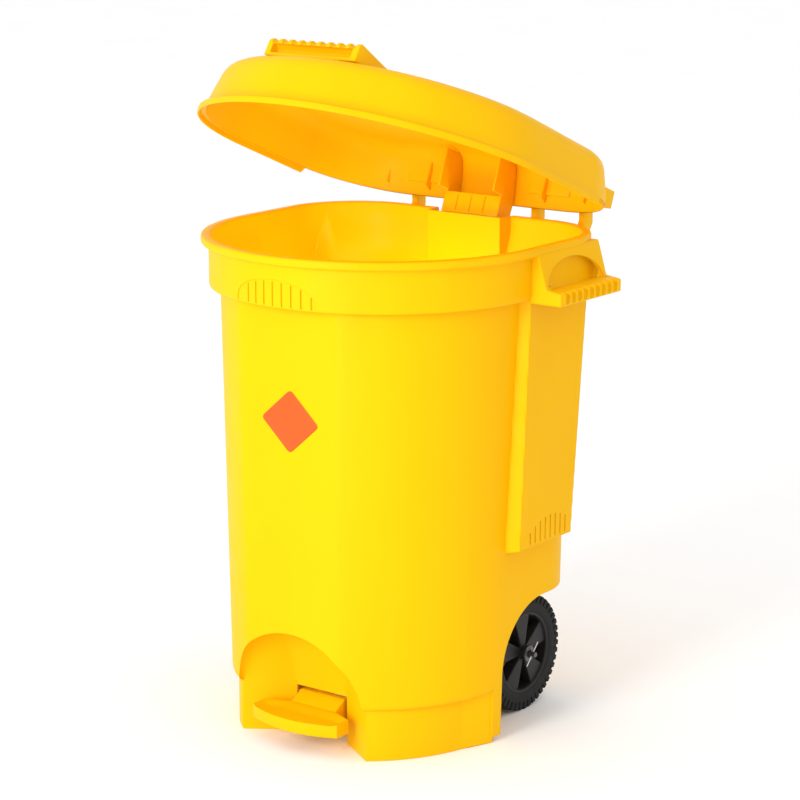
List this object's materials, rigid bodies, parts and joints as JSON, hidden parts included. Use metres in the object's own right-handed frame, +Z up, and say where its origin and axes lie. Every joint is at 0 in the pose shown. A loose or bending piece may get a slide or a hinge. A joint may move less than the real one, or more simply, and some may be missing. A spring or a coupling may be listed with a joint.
{
  "type": "wheeled pedal waste bin",
  "caption": "Rounded yellow biohazard waste bin on wheels with a domed hinged lid, front pedal recess, side carrying handles and a plain orange diamond label.",
  "frame": {"origin": "on the floor under the middle of the whole part as stored, lid partly open", "axes": "+Z up, front of the bin with the pedal towards -Y, hinge side towards +Y, +X to the right of a viewer who faces the front from -Y"},
  "size_m": [0.682, 0.645, 1.1414],
  "materials": {
    "bin_yellow": "smooth moulded polyethylene, satin gloss",
    "label_orange": "printed vinyl",
    "steel": "zinc plated",
    "black_plastic": "moulded",
    "wheel_black": "moulded polypropylene",
    "tyre_rubber": "solid rubber"
  },
  "bodies": {
    "bin": {"bin_shell": "bin_yellow", "hinge_bracket_l": "bin_yellow", "hinge_bracket_r": "bin_yellow", "hinge_pin_l": "steel", "hinge_pin_r": "steel", "label_plate": "label_orange", "rod_guide_upper": "bin_yellow", "rod_guide_lower": "bin_yellow", "axle_clamp_l": "black_plastic", "axle_clamp_r": "black_plastic", "wheel_axle": "steel", "axle_washer_l": "steel", "axle_washer_r": "steel", "cotter_pin_l": "steel", "cotter_pin_r": "steel", "pedal_bearing_l": "black_plastic", "pedal_bearing_r": "black_plastic"},
    "lid": {"lid_shell": "bin_yellow", "lid_grip": "bin_yellow", "lid_push_block": "bin_yellow"},
    "pedal": {"pedal_tread": "bin_yellow", "pedal_lever": "steel", "pedal_axle": "steel"},
    "rod": {"push_rod": "steel", "rod_cap": "black_plastic", "rod_foot": "black_plastic"},
    "wheel_left": {"wheel_core_l": "wheel_black", "wheel_tyre_l": "tyre_rubber"},
    "wheel_right": {"wheel_core_r": "wheel_black", "wheel_tyre_r": "tyre_rubber"}
  },
  "joints": [
    {"name": "lid_hinge", "type": "hinge", "parent": "bin", "child": "lid", "pos_m": [0, 0.3095, 0.852], "axis": [-1, 0, 0], "range_deg": [-22, 38]},
    {"name": "pedal_pivot", "type": "hinge", "parent": "bin", "child": "pedal", "pos_m": [0, -0.0905, 0.05], "axis": [1, 0, 0], "range_deg": [-3.07, 5.3]},
    {"name": "rod_slide", "type": "slide", "parent": "bin", "child": "rod", "axis": [0, 0, 1], "range_m": [-0.0178, 0.0306]},
    {"name": "wheel_left_spin", "type": "hinge", "parent": "bin", "child": "wheel_left", "pos_m": [0, 0.1155, 0.1], "axis": [1, 0, 0], "continuous": true},
    {"name": "wheel_right_spin", "type": "hinge", "parent": "bin", "child": "wheel_right", "pos_m": [0, 0.1155, 0.1], "axis": [1, 0, 0], "continuous": true}
  ],
  "couplings": [
    {"joint": "rod_slide", "follows": "lid_hinge", "m_per_rad": 0.04603},
    {"joint": "pedal_pivot", "follows": "lid_hinge", "ratio": 0.139}
  ]
}
